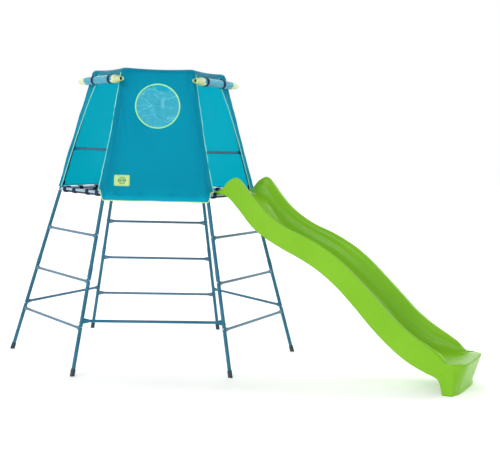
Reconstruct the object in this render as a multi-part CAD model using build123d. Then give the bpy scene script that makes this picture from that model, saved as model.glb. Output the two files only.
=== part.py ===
from build123d import *
import os
from math import atan, cos, pi, radians, sin, tan

# Hexagonal climbing tower with a laced deck, a fabric den cover and a wavy slide.
# Millimetres.  Z is up, the slide runs out along +X, and the tower's six faces are named
# by the direction that they look in.

# ---- tower ---------------------------------------------------------------------------
FOOT_RADIUS = 1033.0        # centre of the tower to a leg's centre line, at the ground
TOP_RADIUS = 461.0          # the same at the top ring
TOP_RAIL_HEIGHT = 2008.0
LEG_TOP = 2024.0
LEG_DIAMETER = 25.0
LEG_WALL = 1.5
LEG_JOINTS = (690.0, 1380.0)    # heights at which the next leg section is socketed
SOCKET_LENGTH = 60.0
SOCKET_CLEARANCE = 0.1

RUNG_HEIGHTS = (302.0, 602.0, 900.0)
BRACE_HEIGHT = 350.0
DECK_HEIGHT = 1185.0
GUARD_HEIGHT = 1475.0
RUNG_DIAMETER = 19.0
RAIL_DIAMETER = 22.0
BAR_WALL = 1.2
FLARE_LENGTH = 40.0         # a bar's end is pressed flat and flared over this length
FLARE_HEIGHT = 40.0
FLARE_THICKNESS = 14.0
FLARE_WRAP = 5.0            # how far the flared end reaches round the leg
SEAT_GAP = 0.2

BOLT_DIAMETER = 6.0
BOLT_HOLE_CLEARANCE = 0.2
BOLT_HEAD_DIAMETER = 10.0
BOLT_HEAD_HEIGHT = 3.5
BOLT_REACH = 18.0           # length of thread inside the bar's end
BOLT_STAGGER = 9.0          # neighbouring bars' bolts cross the leg above and below each other

CAP_WALL = 3.0
CAP_HEIGHT = 46.0
CAP_FLOOR = 5.0
CAP_CLEARANCE = 0.15

# ---- deck ----------------------------------------------------------------------------
DECK_THICKNESS = 12.0
DECK_OVERHANG = 6.0         # deck edge beyond the rails' centre line
DECK_GAP = 0.3
LEG_NOTCH_RADIUS = 62.0
LOOP_WIDTH = 46.0
LOOP_THICKNESS = 2.5
LOOP_GAP = 0.3
INNER_LOOP_PLACE = 105.0    # from the middle of the rail
OUTER_LOOP_INSET = 25.0     # from the flare's root to the middle of the outer loop

# ---- cover ---------------------------------------------------------------------------
COVER_GAP = 20.0            # leg centre planes to the inside of the cloth
COVER_THICKNESS = 3.0
ROOF_HEIGHT = 2040.0
HEM_HEIGHT = 1135.0
DOOR_HEM_HEIGHT = 1202.0     # beside the doorways, and on the walls that stop above the rail
LOW_HEM_FACE = "window"     # the wall that hangs below the deck rail
DOOR_TOP = 1935.0
DOOR_EDGE_AT_HEM = 50.0     # cloth left beside each doorway, from the leg's centre line
WINDOW_DIAMETER = 300.0
WINDOW_HEIGHT = 1780.0
FILM_THICKNESS = 1.0
FILM_CLEARANCE = 0.3
PATCH_SIZE = (105.0, 74.0)
PATCH_THICKNESS = 1.2
PATCH_PLACE = -229.0
PATCH_HEIGHT = 1272.0
PATCH_GAP = 0.2

# ---- rolled door flaps -----------------------------------------------------------------
ROLL_DIAMETER = 60.0
ROLL_TIP_DIAMETER = 30.0
ROLL_LENGTH = 670.0
ROLL_CONE_LENGTH = 130.0
ROLL_HEIGHT = 1945.0
ROLL_GAP = 5.0
STRAP_SPACING = 250.0
STRAP_WIDTH = 26.0
STRAP_THICKNESS = 2.5
STRAP_GAP = 0.3

# ---- slide -----------------------------------------------------------------------------
SLIDE_WIDTH = 520.0
SLIDE_RUN = 1790.0          # deck rail to the front of the exit lip
EXIT_HEIGHT = 203.0
WALL_HEIGHT = 122.0         # chute floor to the rim, square to the floor
SIDE_WIDTH = 36.0           # width of each hollow side
SKIN = 5.0
SKIRT_DEPTH = 22.0          # side skirt below the chute floor
LIP_OVERLAP = 70.0          # chute floor behind the rail's centre line
LIP_TURN = 16.0
HUMP_HEIGHT = 109.0         # top of the side's shoulder above the chute floor
HUMP_REACH = 155.0          # deck rail to the shoulder's top
HUMP_CLIMB = 95.0           # deck rail to halfway up the shoulder
HUMP_TOE = (30.0, 8.0)      # where the side starts: out from the rail, above the floor
REST_GAP = 0.3
EXIT_FOOT_LENGTH = 105.0
FOOT_SPRING = 0.65          # share of the arch's height where the foot turns into it
FOOT_ARCH_REACH = 185.0     # exit to the arch's near end
SKIRT_FALL = 260.0          # exit to where the skirt runs into the arch
RIM_FALL = ((145.0, 60.0), (100.0, 12.0))   # side's end: back from the exit, above the floor
EXIT_LEAN = 62.0            # the exit's front face leans back towards the ground
FOOT_ARCH_HEIGHT = 106.0
SLIDE_BOLT_PLACE = 150.0
SLIDE_BOLT_BELOW_RAIL = 8.0
BOLT_HEAD_ROUNDING = 0.6    # share of the head's height
# shares of the chute floor's length at which each stretch that follows it starts and ends
RIM_START = 0.125
RIM_END = 0.865
SKIRT_START = 0.06
SKIRT_END = 0.80
UNDERSIDE_START = 0.065
UNDERSIDE_END = 0.95
SIDE_HOLLOW_INSET = (0.01, 0.02)    # the hollow side starts later and ends sooner than the rim

FACES = {"slide": 0.0, "far": 60.0, "rear": 120.0, "end": 180.0, "entry": 240.0, "window": 300.0}
LADDER_FACES = ("slide", "rear", "entry")
BRACE_FACES = ("far", "end", "window")
CORNER_ANGLES = [30.0 + 60.0 * k for k in range(6)]

# cloth left beside each doorway at its top, on the clockwise and anticlockwise side
DOOR_EDGE_AT_TOP = {"slide": (12.0, 110.0), "rear": (60.0, 60.0), "entry": (110.0, 12.0)}

# chute floor: share of the run, share of the drop
CHUTE_WAVE = (
    (0.045, 0.010), (0.112, 0.076), (0.173, 0.196), (0.240, 0.279), (0.346, 0.369),
    (0.441, 0.456), (0.589, 0.677), (0.698, 0.868), (0.793, 0.981), (0.883, 1.018),
)

leg_radius = LEG_DIAMETER / 2
bolt_radius = BOLT_DIAMETER / 2
hole_radius = bolt_radius + BOLT_HOLE_CLEARANCE
rail_radius = RAIL_DIAMETER / 2
taper = (FOOT_RADIUS - TOP_RADIUS) / TOP_RAIL_HEIGHT
leg_lean = atan(taper)
face_lean = atan(taper * cos(pi / 6))
leg_tilt_in_face = atan(taper / 2 * cos(face_lean))


def ring_radius(height):
    """Leg centre line's distance from the tower's axis, and the span of a bar there."""
    return FOOT_RADIUS - taper * height


def leg_plane(angle):
    """Origin where the leg's centre line meets the ground, Z along the leg."""
    a = radians(angle)
    return Plane(
        origin=(FOOT_RADIUS * cos(a), FOOT_RADIUS * sin(a), 0),
        x_dir=(-sin(a), cos(a), 0),
        z_dir=(-cos(a) * sin(leg_lean), -sin(a) * sin(leg_lean), cos(leg_lean)),
    )


def face_plane(face, height):
    """Middle of a face at a height: X along the face, Y up its slope, Z outwards."""
    a = radians(FACES[face])
    apothem = ring_radius(height) * cos(pi / 6)
    return Plane(
        origin=(apothem * cos(a), apothem * sin(a), height),
        x_dir=(-sin(a), cos(a), 0),
        z_dir=(cos(a) * cos(face_lean), sin(a) * cos(face_lean), sin(face_lean)),
    )


def level_plane(face, height):
    """The same point with Y straight up and Z level, for the deck's pieces."""
    a = radians(FACES[face])
    apothem = ring_radius(height) * cos(pi / 6)
    return Plane(
        origin=(apothem * cos(a), apothem * sin(a), height),
        x_dir=(-sin(a), cos(a), 0),
        z_dir=(cos(a), sin(a), 0),
    )


def along_x(radius, start, end):
    """Cylinder on the X axis from start to end."""
    return Pos(start, 0, 0) * Rot(0, 90, 0) * Cylinder(
        radius, end - start, align=(Align.CENTER, Align.CENTER, Align.MIN)
    )


def along_z(radius, start, end):
    """Cylinder on the Z axis from start to end."""
    return Pos(0, 0, start) * Cylinder(
        radius, end - start, align=(Align.CENTER, Align.CENTER, Align.MIN)
    )


# ---- bars and their bolts --------------------------------------------------------------
def stagger(face):
    """Bolt height above the bar's centre line, up on ladder faces and down on the others."""
    return BOLT_STAGGER if face in LADDER_FACES else -BOLT_STAGGER


def flared_bar(span, diameter, rise):
    """Tube on X with both ends pressed flat, flared and saddled on the legs."""
    reach = span / 2 - leg_radius
    root = reach - FLARE_LENGTH
    bar = along_x(diameter / 2, -root, root)
    for side in (-1, 1):
        root_section = Plane(origin=(side * root, 0, 0), x_dir=(0, 1, 0), z_dir=(side, 0, 0))
        end_section = Plane(
            origin=(side * (reach + FLARE_WRAP), 0, 0), x_dir=(0, 1, 0), z_dir=(side, 0, 0)
        )
        bar += loft([
            root_section * Circle(diameter / 2),
            end_section * Ellipse(FLARE_HEIGHT / 2, FLARE_THICKNESS / 2),
        ])
    bar -= along_x(diameter / 2 - BAR_WALL, -root, root)
    for side in (-1, 1):
        seat = Pos(side * span / 2, 0, 0) * Rot(0, 0, side * leg_tilt_in_face * 180 / pi)
        bar -= seat * Rot(90, 0, 0) * Cylinder(leg_radius + SEAT_GAP, 3 * FLARE_HEIGHT)
        thread = Pos(0, rise, 0) * along_x(hole_radius, root - BOLT_REACH, span / 2)
        bar -= thread if side > 0 else mirror(thread, about=Plane.YZ)
    return bar


def bar_bolts(span, rise):
    """The two bolts that hold a bar, each through its leg into the bar's end."""
    seat = span / 2 - rise * tan(leg_tilt_in_face) + leg_radius / cos(leg_tilt_in_face)
    seat += BOLT_HEAD_DIAMETER / 2 * tan(leg_tilt_in_face) + SEAT_GAP
    tip = span / 2 - leg_radius - BOLT_REACH
    head = fillet(
        along_x(BOLT_HEAD_DIAMETER / 2, seat, seat + BOLT_HEAD_HEIGHT).edges().sort_by(Axis.X)[-1],
        BOLT_HEAD_HEIGHT * 0.6,
    )
    bolt = Pos(0, rise, 0) * (along_x(bolt_radius, tip, seat) + head)
    return [bolt, mirror(bolt, about=Plane.YZ)]


def bolt_passage(span, rise):
    """What a bar's two bolts remove from the legs."""
    far = span / 2 + LEG_DIAMETER
    hole = Pos(0, rise, 0) * along_x(hole_radius, span / 2 - LEG_DIAMETER, far)
    return [hole, mirror(hole, about=Plane.YZ)]


bars = {}
for face in LADDER_FACES:
    for number, height in enumerate(RUNG_HEIGHTS, start=1):
        bars[f"rung_{face}_{number}"] = (face, height, RUNG_DIAMETER)
    bars[f"guard_bar_{face}"] = (face, GUARD_HEIGHT, RUNG_DIAMETER)
for face in BRACE_FACES:
    bars[f"brace_{face}"] = (face, BRACE_HEIGHT, RUNG_DIAMETER)
for face in FACES:
    bars[f"deck_rail_{face}"] = (face, DECK_HEIGHT, RAIL_DIAMETER)
    bars[f"top_rail_{face}"] = (face, TOP_RAIL_HEIGHT, RUNG_DIAMETER)

nodes = {}
bolts = []
passages = []
top_rails = []
for name, (face, height, diameter) in bars.items():
    place = face_plane(face, height).location
    span = ring_radius(height)
    bar = place * flared_bar(span, diameter, stagger(face))
    if name.startswith("top_rail"):
        top_rails.append(bar)
    else:
        nodes[name] = bar
    bolts += [place * bolt for bolt in bar_bolts(span, stagger(face))]
    passages += [(height, place * hole) for hole in bolt_passage(span, stagger(face))]
nodes["top_rails"] = Compound(children=top_rails)
nodes["frame_bolts"] = Compound(children=bolts)


# ---- legs and feet ---------------------------------------------------------------------
def leg_section(start, end, socket):
    """Leg tube between two heights, with a belled socket at its upper end if asked."""
    low = start / cos(leg_lean)
    high = end / cos(leg_lean)
    if not socket:
        return along_z(leg_radius, low, high) - along_z(leg_radius - LEG_WALL, low, high)
    throat = high - SOCKET_LENGTH
    socket_bore = leg_radius + SOCKET_CLEARANCE
    bell = along_z(socket_bore + LEG_WALL, throat - LEG_WALL * 3, high)
    bell = chamfer(bell.edges().sort_by(Axis.Z)[0], LEG_WALL)
    tube = along_z(leg_radius, low, high) + bell
    tube -= along_z(leg_radius - LEG_WALL, low, high)
    return tube - along_z(socket_bore, throat, high)


def foot_cap(angle):
    """Moulded cap round the leg's end, cut level where it stands on the ground."""
    sleeve_radius = leg_radius + CAP_CLEARANCE + CAP_WALL
    foot_level = CAP_FLOOR / cos(leg_lean)
    cap = along_z(sleeve_radius, -LEG_DIAMETER, CAP_HEIGHT)
    cap = fillet(cap.edges().sort_by(Axis.Z)[-1], CAP_WALL / 2)
    cap -= along_z(leg_radius + CAP_CLEARANCE, foot_level + leg_foot_rise, CAP_HEIGHT)
    cap = leg_plane(angle).location * cap
    ground = Pos(FOOT_RADIUS * cos(radians(angle)), FOOT_RADIUS * sin(radians(angle)), 0)
    return cap & (ground * Box(
        4 * LEG_DIAMETER, 4 * LEG_DIAMETER, 2 * CAP_HEIGHT,
        align=(Align.CENTER, Align.CENTER, Align.MIN),
    ))


leg_foot_rise = leg_radius * tan(leg_lean)
leg_foot = CAP_FLOOR + leg_foot_rise * cos(leg_lean) + CAP_CLEARANCE
seat_depth = (SOCKET_LENGTH - 1.0) * cos(leg_lean)
sections = {
    "lower": (leg_foot, LEG_JOINTS[0], True),
    "middle": (LEG_JOINTS[0] - seat_depth, LEG_JOINTS[1], True),
    "upper": (LEG_JOINTS[1] - seat_depth, LEG_TOP, False),
}
for number, angle in enumerate(CORNER_ANGLES, start=1):
    place = leg_plane(angle).location
    for section, (start, end, socket) in sections.items():
        leg = place * leg_section(start, end, socket)
        for height, hole in passages:
            if start < height < end:
                leg -= hole
        nodes[f"leg_{number}_{section}"] = leg
nodes["foot_caps"] = Compound(children=[foot_cap(angle) for angle in CORNER_ANGLES])


# ---- deck ------------------------------------------------------------------------------
def hexagon(radius, height):
    corners = [(radius * cos(radians(a)), radius * sin(radians(a)), height) for a in CORNER_ANGLES]
    return make_face(Polyline(*corners, close=True))


deck_top = DECK_HEIGHT - rail_radius - DECK_GAP
deck_bottom = deck_top - DECK_THICKNESS
loop_rise = rail_radius + LOOP_GAP
loop_drop = DECK_HEIGHT - deck_bottom + LOOP_GAP


def loop_band(outside, inside):
    """Band round rail and deck edge, its faces moved out and in by the two amounts."""
    half_width = rail_radius + LOOP_GAP
    depth = loop_rise + loop_drop
    middle = (loop_rise - loop_drop) / 2
    outer = RectangleRounded(2 * (half_width + outside), depth + 2 * outside, half_width * 0.9)
    inner = RectangleRounded(2 * (half_width - inside), depth - 2 * inside, half_width * 0.7)
    profile = Plane(origin=(0, middle, 0), x_dir=(0, 0, 1), z_dir=(1, 0, 0)) * (outer - inner)
    return extrude(profile, amount=LOOP_WIDTH / 2 + inside, both=True)


deck_panel = extrude(
    hexagon(ring_radius(DECK_HEIGHT) + DECK_OVERHANG / cos(pi / 6), deck_bottom), amount=DECK_THICKNESS
)
for angle in CORNER_ANGLES:
    radius = ring_radius(deck_top)
    corner = Pos(radius * cos(radians(angle)), radius * sin(radians(angle)), deck_bottom)
    deck_panel -= corner * Cylinder(LEG_NOTCH_RADIUS, 4 * DECK_THICKNESS)

outer_loop_place = ring_radius(DECK_HEIGHT) / 2 - leg_radius - FLARE_LENGTH - OUTER_LOOP_INSET
deck_loops = []
for face in FACES:
    places = [-outer_loop_place, outer_loop_place]
    if face != "slide":
        places += [-INNER_LOOP_PLACE, INNER_LOOP_PLACE]
    for along in places:
        place = level_plane(face, DECK_HEIGHT).location * Pos(along, 0, 0)
        deck_loops.append(place * loop_band(LOOP_THICKNESS, 0))
        deck_panel -= place * loop_band(LOOP_THICKNESS + LOOP_GAP, LOOP_GAP)
nodes["deck_panel"] = deck_panel
nodes["deck_loops"] = Compound(children=deck_loops)


# ---- cover -----------------------------------------------------------------------------
def tower_shape(gap, bottom, top):
    """Six-sided frustum whose faces stand off the leg centre planes by a gap."""
    outset = gap / cos(face_lean) / cos(pi / 6)
    return loft([
        hexagon(ring_radius(bottom) + outset, bottom),
        hexagon(ring_radius(top) + outset, top),
    ])


def up_slope(height, level):
    """Distance up a face's slope from a level to a height."""
    return (height - level) / cos(face_lean)


def doorway(face):
    """Block that opens a doorway through the cover of one face."""
    left_top, right_top = DOOR_EDGE_AT_TOP[face]
    top = DOOR_TOP + COVER_THICKNESS
    half_low = ring_radius(DOOR_HEM_HEIGHT) / 2
    half_top = ring_radius(top) / 2
    half_hem = ring_radius(HEM_HEIGHT) / 2
    low = up_slope(DOOR_HEM_HEIGHT, DECK_HEIGHT)
    outline = Polyline(
        (-half_low + DOOR_EDGE_AT_HEM, low),
        (half_low - DOOR_EDGE_AT_HEM, low),
        (half_top - right_top, up_slope(top, DECK_HEIGHT)),
        (-half_top + left_top, up_slope(top, DECK_HEIGHT)),
        close=True,
    )
    below = up_slope(HEM_HEIGHT, DECK_HEIGHT) - COVER_GAP
    step = Polyline(
        (-half_hem, below), (half_hem, below), (half_low, low), (-half_low, low), close=True
    )
    opening = extrude(make_face(outline), amount=3 * COVER_GAP)
    opening += extrude(make_face(step), amount=3 * COVER_GAP)
    return face_plane(face, DECK_HEIGHT).location * opening


shell = tower_shape(COVER_GAP + COVER_THICKNESS, HEM_HEIGHT, ROOF_HEIGHT)
shell -= tower_shape(COVER_GAP, HEM_HEIGHT - COVER_GAP, ROOF_HEIGHT - COVER_THICKNESS)
above_doors = Pos(0, 0, DOOR_TOP) * Box(
    4 * TOP_RADIUS, 4 * TOP_RADIUS, ROOF_HEIGHT, align=(Align.CENTER, Align.CENTER, Align.MIN)
)
nodes["cover_roof"] = shell & above_doors
walls = shell - above_doors
for face in LADDER_FACES:
    walls -= doorway(face)

below_doors = Pos(0, 0, DOOR_HEM_HEIGHT) * Box(
    4 * FOOT_RADIUS, 4 * FOOT_RADIUS, ROOF_HEIGHT, align=(Align.CENTER, Align.CENTER, Align.MAX)
)
window_place = face_plane("window", WINDOW_HEIGHT).location
walls -= window_place * along_z(WINDOW_DIAMETER / 2, 0, 3 * COVER_GAP)
cloth_middle = COVER_GAP + COVER_THICKNESS / 2
nodes["window_film"] = window_place * along_z(
    WINDOW_DIAMETER / 2 - FILM_CLEARANCE,
    cloth_middle - FILM_THICKNESS / 2,
    cloth_middle + FILM_THICKNESS / 2,
)
for face in BRACE_FACES:
    outward = level_plane(face, HEM_HEIGHT).z_dir
    wall = max(walls.solids(), key=lambda s: s.center().dot(outward))
    nodes[f"cover_wall_{face}"] = wall if face == LOW_HEM_FACE else wall - below_doors

patch = extrude(RectangleRounded(*PATCH_SIZE, radius=8.0), amount=PATCH_THICKNESS)
nodes["side_patch"] = face_plane("window", PATCH_HEIGHT).location * Pos(
    PATCH_PLACE, 0, COVER_GAP + COVER_THICKNESS + PATCH_GAP
) * patch


# ---- rolled door flaps -------------------------------------------------------------------
def door_roll():
    """Rolled flap on X: an even middle and a cone at each end."""
    shoulder = ROLL_LENGTH / 2 - ROLL_CONE_LENGTH
    roll = along_x(ROLL_DIAMETER / 2, -shoulder, shoulder)
    cone = Pos(shoulder, 0, 0) * Rot(0, 90, 0) * Cone(
        ROLL_DIAMETER / 2, ROLL_TIP_DIAMETER / 2, ROLL_CONE_LENGTH,
        align=(Align.CENTER, Align.CENTER, Align.MIN),
    )
    return roll + cone + mirror(cone, about=Plane.YZ)


def roll_strap(place):
    """Band round the rolled flap."""
    bore = ROLL_DIAMETER / 2 + STRAP_GAP
    low = place - STRAP_WIDTH / 2
    high = place + STRAP_WIDTH / 2
    return along_x(bore + STRAP_THICKNESS, low, high) - along_x(bore, low, high)


roll_stand_off = COVER_GAP + COVER_THICKNESS + ROLL_GAP + ROLL_DIAMETER / 2
for face in LADDER_FACES:
    left_top, right_top = DOOR_EDGE_AT_TOP[face]
    doorway_middle = (left_top - right_top) / 2
    place = face_plane(face, ROLL_HEIGHT).location * Pos(0, 0, roll_stand_off)
    nodes[f"door_roll_{face}"] = place * door_roll()
    nodes[f"roll_straps_{face}"] = Compound(children=[
        place * roll_strap(doorway_middle + side * STRAP_SPACING / 2) for side in (-1, 1)
    ])


# ---- slide -------------------------------------------------------------------------------
rail_x = ring_radius(DECK_HEIGHT) * cos(pi / 6)
loop_top = rail_radius + LOOP_GAP + LOOP_THICKNESS
floor_top = DECK_HEIGHT + loop_top + REST_GAP + SKIN
drop = floor_top - EXIT_HEIGHT
exit_x = rail_x + SLIDE_RUN
lip_x = rail_x - LIP_OVERLAP
wave = [(rail_x + run * SLIDE_RUN, 0, floor_top - share * drop) for run, share in CHUTE_WAVE]
chute_floor = Spline(
    (lip_x, 0, floor_top), (rail_x, 0, floor_top), *wave, (exit_x, 0, EXIT_HEIGHT)
)


def beside_floor(share, rise):
    """Point square to the chute floor at a share of its length."""
    spot = chute_floor @ share
    heading = chute_floor % share
    return Vector(spot.X - heading.Z * rise, 0, spot.Z + heading.X * rise)


def floor_offset(rise, first, last, count=13):
    """Points that run beside the chute floor at an even distance."""
    step = (last - first) / (count - 1)
    return [beside_floor(first + step * k, rise) for k in range(count)]


def side_region(points, *corners):
    """Face in the slide's middle plane: a smooth edge through points, then corners."""
    edge = Spline(*points)
    return make_face([*edge.edges(), *Polyline(edge @ 1, *corners, edge @ 0).edges()])


def across(region, inner, outer):
    """Solid of a middle-plane region between two distances from the middle."""
    return extrude(Pos(0, inner, 0) * region, amount=outer - inner, dir=(0, 1, 0))


half_slide = SLIDE_WIDTH / 2
inner_wall = half_slide - SIDE_WIDTH
foot_x = exit_x - EXIT_LEAN
foot_back_x = foot_x - EXIT_FOOT_LENGTH
below_ground = -EXIT_HEIGHT

rim_edge = Spline(
    (rail_x + HUMP_TOE[0], 0, floor_top + HUMP_TOE[1]),
    (rail_x + HUMP_CLIMB, 0, floor_top + HUMP_HEIGHT / 2),
    (rail_x + HUMP_REACH, 0, floor_top + HUMP_HEIGHT),
    *floor_offset(WALL_HEIGHT, RIM_START, RIM_END),
    *((exit_x - back, 0, EXIT_HEIGHT + rise) for back, rise in RIM_FALL),
)
skirt_edge = Spline(
    (exit_x - FOOT_ARCH_REACH, 0, FOOT_ARCH_HEIGHT),
    (exit_x - SKIRT_FALL, 0, FOOT_ARCH_HEIGHT + SKIRT_DEPTH),
    *reversed(floor_offset(-SKIRT_DEPTH, SKIRT_START, SKIRT_END)),
)
hook_x = rail_x + loop_top + REST_GAP
side_face = make_face([
    *rim_edge.edges(),
    *Polyline(
        rim_edge @ 1, (exit_x, 0, EXIT_HEIGHT), (foot_x, 0, 0), (foot_back_x, 0, 0),
        (foot_back_x, 0, FOOT_ARCH_HEIGHT * FOOT_SPRING), skirt_edge @ 0,
    ).edges(),
    *skirt_edge.edges(),
    *Polyline(
        skirt_edge @ 1, (hook_x, 0, floor_top - 2 * SKIN), (hook_x, 0, floor_top - SKIN),
        (lip_x, 0, floor_top - SKIN), (lip_x, 0, floor_top), rim_edge @ 0,
    ).edges(),
])
body = across(side_face, -half_slide, half_slide)

beyond_exit = exit_x + SKIN
overhead = floor_top + 2 * HUMP_HEIGHT
channel = side_region(
    floor_offset(0, 0, 1, 31), (beyond_exit, 0, EXIT_HEIGHT), (beyond_exit, 0, overhead),
    (lip_x - SKIN, 0, overhead), (lip_x - SKIN, 0, floor_top),
)
body -= across(channel, -inner_wall, inner_wall)

under_floor_edge = floor_offset(-SKIN, UNDERSIDE_START, UNDERSIDE_END, 25)
under_floor = side_region(
    under_floor_edge, (exit_x - 2 * SKIN, 0, EXIT_HEIGHT - SKIN), (foot_x - 2 * SKIN, 0, 0),
    (foot_x - 2 * SKIN, 0, below_ground), (under_floor_edge[0].X, 0, below_ground),
)
body -= across(under_floor, SKIN - half_slide, half_slide - SKIN)
in_side_edge = floor_offset(
    WALL_HEIGHT - SKIN, RIM_START + SIDE_HOLLOW_INSET[0], RIM_END - SIDE_HOLLOW_INSET[1]
)
in_side = side_region(
    in_side_edge, (in_side_edge[-1].X, 0, below_ground), (in_side_edge[0].X, 0, below_ground)
)
body -= across(in_side, inner_wall + SKIN, half_slide - SKIN)
body -= across(in_side, SKIN - half_slide, -inner_wall - SKIN)

turned_lip = Pos(lip_x + SKIN / 2, 0, floor_top - LIP_TURN / 2 - SKIN) * Box(
    SKIN, 2 * inner_wall, LIP_TURN
)
slide = body + turned_lip
slide_bolts = []
for side in (-1, 1):
    spot = Pos(rail_x, side * SLIDE_BOLT_PLACE, 0)
    seat = floor_top + SEAT_GAP
    shank = spot * along_z(bolt_radius, DECK_HEIGHT - rail_radius - SLIDE_BOLT_BELOW_RAIL, seat)
    head = spot * along_z(BOLT_HEAD_DIAMETER, seat, seat + BOLT_HEAD_HEIGHT)
    head = fillet(head.edges().sort_by(Axis.Z)[-1], BOLT_HEAD_HEIGHT * BOLT_HEAD_ROUNDING)
    slide_bolts.append(shank + head)
    hole = spot * along_z(hole_radius, deck_bottom - DECK_GAP, floor_top + SKIN)
    slide -= hole
    nodes["deck_rail_slide"] -= hole
    nodes["deck_panel"] -= hole
nodes["slide"] = slide
nodes["slide_bolts"] = Compound(children=slide_bolts)


# ---- the origin is the middle of the footprint, on the ground ------------------------------
boxes = [node.bounding_box() for node in nodes.values()]
middle_x = (min(b.min.X for b in boxes) + max(b.max.X for b in boxes)) / 2
middle_y = (min(b.min.Y for b in boxes) + max(b.max.Y for b in boxes)) / 2
lowest = min(b.min.Z for b in boxes)
to_origin = Pos(-middle_x, -middle_y, -lowest)

os.makedirs("parts", exist_ok=True)
for name, node in nodes.items():
    export_step(to_origin * node, f"parts/{name}.step")
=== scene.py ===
from math import atan, copysign, cos, pi, radians, sin, sqrt

import bmesh
import bpy
from mathutils import Matrix, Vector, noise


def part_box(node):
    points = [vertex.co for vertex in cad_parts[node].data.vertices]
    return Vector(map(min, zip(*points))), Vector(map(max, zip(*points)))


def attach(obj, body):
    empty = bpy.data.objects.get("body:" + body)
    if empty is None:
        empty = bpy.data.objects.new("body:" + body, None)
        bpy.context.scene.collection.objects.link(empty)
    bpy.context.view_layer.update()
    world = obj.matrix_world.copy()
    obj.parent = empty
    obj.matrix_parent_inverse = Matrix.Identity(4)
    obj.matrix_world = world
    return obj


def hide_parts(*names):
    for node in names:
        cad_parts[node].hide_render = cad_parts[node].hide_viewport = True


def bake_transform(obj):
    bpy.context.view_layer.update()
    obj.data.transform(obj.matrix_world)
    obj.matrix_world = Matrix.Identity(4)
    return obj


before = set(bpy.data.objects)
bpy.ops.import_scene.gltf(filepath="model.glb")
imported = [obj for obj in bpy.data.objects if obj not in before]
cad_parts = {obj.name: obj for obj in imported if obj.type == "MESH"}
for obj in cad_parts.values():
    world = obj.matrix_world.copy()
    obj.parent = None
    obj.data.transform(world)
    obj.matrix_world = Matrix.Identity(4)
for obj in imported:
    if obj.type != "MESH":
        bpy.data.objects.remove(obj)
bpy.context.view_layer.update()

# ---- the tower's lines, in metres ----------------------------------------------------
deck_low, deck_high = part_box("deck_panel")
TOWER_X = (deck_low.x + deck_high.x) / 2
FOOT_RING = 1.033           # centre of the tower to a leg's middle line, at the ground
LEG_TAPER = 0.28486         # how much nearer the leg comes for each metre of height
FACE_LEAN = atan(LEG_TAPER * cos(pi / 6))
FACES = {"slide": 0, "far": 60, "rear": 120, "end": 180, "entry": 240, "window": 300}
DOOR_FACES = ("slide", "rear", "entry")
WALL_FACES = ("far", "end", "window")

CLOTH_OFFSET = 0.0221       # leg centre planes to the middle of the cloth, measured level
CLOTH = 0.0012
CORNER_WRAP = CLOTH_OFFSET * pi / 3
ROOF = 2.039
SHOULDER = 0.028            # radius of the cover where wall turns into roof
SHOULDER_START = ROOF - SHOULDER * (1 - sin(FACE_LEAN))
SEAM_TURN = radians(50)     # how far round the shoulder the roof's seam lies
SEAM = SHOULDER_START + SHOULDER * (SEAM_TURN - FACE_LEAN)
HEM = 1.137                 # low edge of the window wall
DOOR_HEM = 1.202
DOOR_TOP = 1.935
DOOR_EDGE = 0.050
# cloth beside each doorway at its top: clockwise side, anticlockwise side
DOOR_EDGE_TOP = {"slide": (0.010, 0.110), "rear": (0.060, 0.060), "entry": (0.110, 0.010)}
WINDOW_RADIUS = 0.1495
WINDOW_HEIGHT = 1.780
WALL_SEED = 20.0            # between one wall's creases and the next one's
WINDOW_WALL_SEED = WALL_SEED * WALL_FACES.index("window")
MERGE = 0.0002              # points nearer than this are one


def ring(height):
    """Distance from the tower's middle to a leg's middle line."""
    return FOOT_RING - LEG_TAPER * height


def turned(angle, along, out):
    """Level vector from its parts along a face and out of it."""
    a = radians(angle)
    return Vector((out * cos(a) - along * sin(a), out * sin(a) + along * cos(a), 0))


def on_face(angle, along, height, out=0.0):
    """Point beside a face's leg plane, out measured square to its slope."""
    level = ring(height) * cos(pi / 6) + out * cos(FACE_LEAN)
    return Vector((TOWER_X, 0, height + out * sin(FACE_LEAN))) + turned(angle, along, level)


def round_tower(angle, along, height, lift=0.0):
    """Point on the cover; past a corner it carries on round the leg and over the next face."""
    half = ring(height) / 2
    offset = CLOTH_OFFSET + lift
    past = abs(along) - half
    side = 1 if along > 0 else -1
    apothem = ring(height) * cos(pi / 6)
    if past <= 0:
        level = turned(angle, along, apothem + offset)
    elif past < CORNER_WRAP:
        corner = turned(angle, side * half, apothem)
        level = corner + turned(angle + side * 60 * past / CORNER_WRAP, 0, offset)
    else:
        beyond = side * (past - CORNER_WRAP - half)
        level = turned(angle + side * 60, beyond, apothem + offset)
    return Vector((TOWER_X, 0, height)) + level


def over_shoulder(angle, along, climb, lift=0.0):
    """Point on the cover at a length of cloth up from the ground; it turns over the shoulder."""
    if climb <= SHOULDER_START:
        return round_tower(angle, along, climb, lift)
    turn = FACE_LEAN + (climb - SHOULDER_START) / SHOULDER
    inward = SHOULDER * (cos(FACE_LEAN) - cos(min(turn, pi / 2)))
    spot = round_tower(angle, along, SHOULDER_START, lift)
    share = 1 - inward / (ring(ROOF) * cos(pi / 6))
    half = ring(ROOF) / 2
    dip = 0.007 * max(0.0, 1 - (along / half) ** 2) * min(1.0, (turn - FACE_LEAN) * 1.2)
    height = SHOULDER_START + SHOULDER * (sin(min(turn, pi / 2)) - sin(FACE_LEAN)) - dip
    return Vector((TOWER_X + (spot.x - TOWER_X) * share, spot.y * share, height))


def smooth(low, high, value):
    t = min(1.0, max(0.0, (value - low) / (high - low)))
    return t * t * (3 - 2 * t)


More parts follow.
